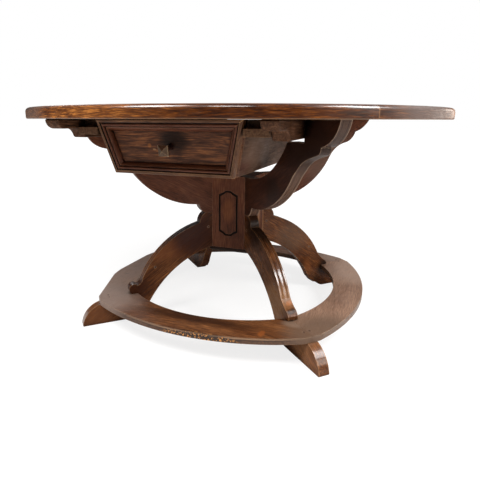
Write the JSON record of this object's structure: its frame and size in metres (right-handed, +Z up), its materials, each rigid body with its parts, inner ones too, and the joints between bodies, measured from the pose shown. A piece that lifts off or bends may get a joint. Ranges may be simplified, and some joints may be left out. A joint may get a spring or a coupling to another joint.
{
  "type": "round trestle table",
  "caption": "Round plank top on curved arms and legs crossing at a carved centre post, with a curved footrest and a splay-sided drawer hung under the top.",
  "frame": {"origin": "on the floor under the middle of the round top", "axes": "+Z up, -Y towards the drawer's front, +X to the right of someone facing the drawer"},
  "size_m": [1.436, 1.4358, 0.75],
  "materials": {
    "top_oak": "polished wax",
    "trestle_oak": "polished wax",
    "dark_oak": "dull wax",
    "footrest_oak": "worn wax",
    "drawer_oak": "worn wax",
    "runner_oak": "bare wood",
    "peg_oak": "dull wax",
    "knob_oak": "worn wax"
  },
  "bodies": {
    "table": {"top_plank_1": "top_oak", "top_plank_2": "top_oak", "top_plank_3": "top_oak", "top_plank_4": "top_oak", "top_plank_5": "top_oak", "top_plank_6": "top_oak", "batten_left": "dark_oak", "batten_right": "dark_oak", "arm_dowels": "peg_oak", "arm_front_left": "trestle_oak", "leg_front_left": "trestle_oak", "arm_front_right": "trestle_oak", "leg_front_right": "trestle_oak", "arm_back_left": "trestle_oak", "leg_back_left": "trestle_oak", "arm_back_right": "trestle_oak", "leg_back_right": "trestle_oak", "core_post": "trestle_oak", "block_front": "trestle_oak", "block_back": "trestle_oak", "block_left": "trestle_oak", "block_right": "trestle_oak", "base_plate": "dark_oak", "footrest_front": "footrest_oak", "footrest_back": "footrest_oak", "footrest_left": "footrest_oak", "footrest_right": "footrest_oak", "footrest_pegs": "peg_oak", "leg_pegs": "peg_oak", "runner_left": "runner_oak", "runner_right": "runner_oak", "drawer_stops": "runner_oak"},
    "drawer": {"drawer_front": "drawer_oak", "drawer_side_left": "drawer_oak", "drawer_side_right": "drawer_oak", "drawer_back": "drawer_oak", "drawer_bottom": "runner_oak", "frame_top": "drawer_oak", "frame_bottom": "drawer_oak", "frame_left": "drawer_oak", "frame_right": "drawer_oak", "hanger_left": "runner_oak", "hanger_right": "runner_oak", "hanger_pegs": "peg_oak", "drawer_knob": "knob_oak", "knob_wedge": "peg_oak"}
  },
  "joints": [
    {"name": "drawer_slide", "type": "slide", "parent": "table", "child": "drawer", "axis": [0, -1, 0], "range_m": [0, 0.33]}
  ]
}
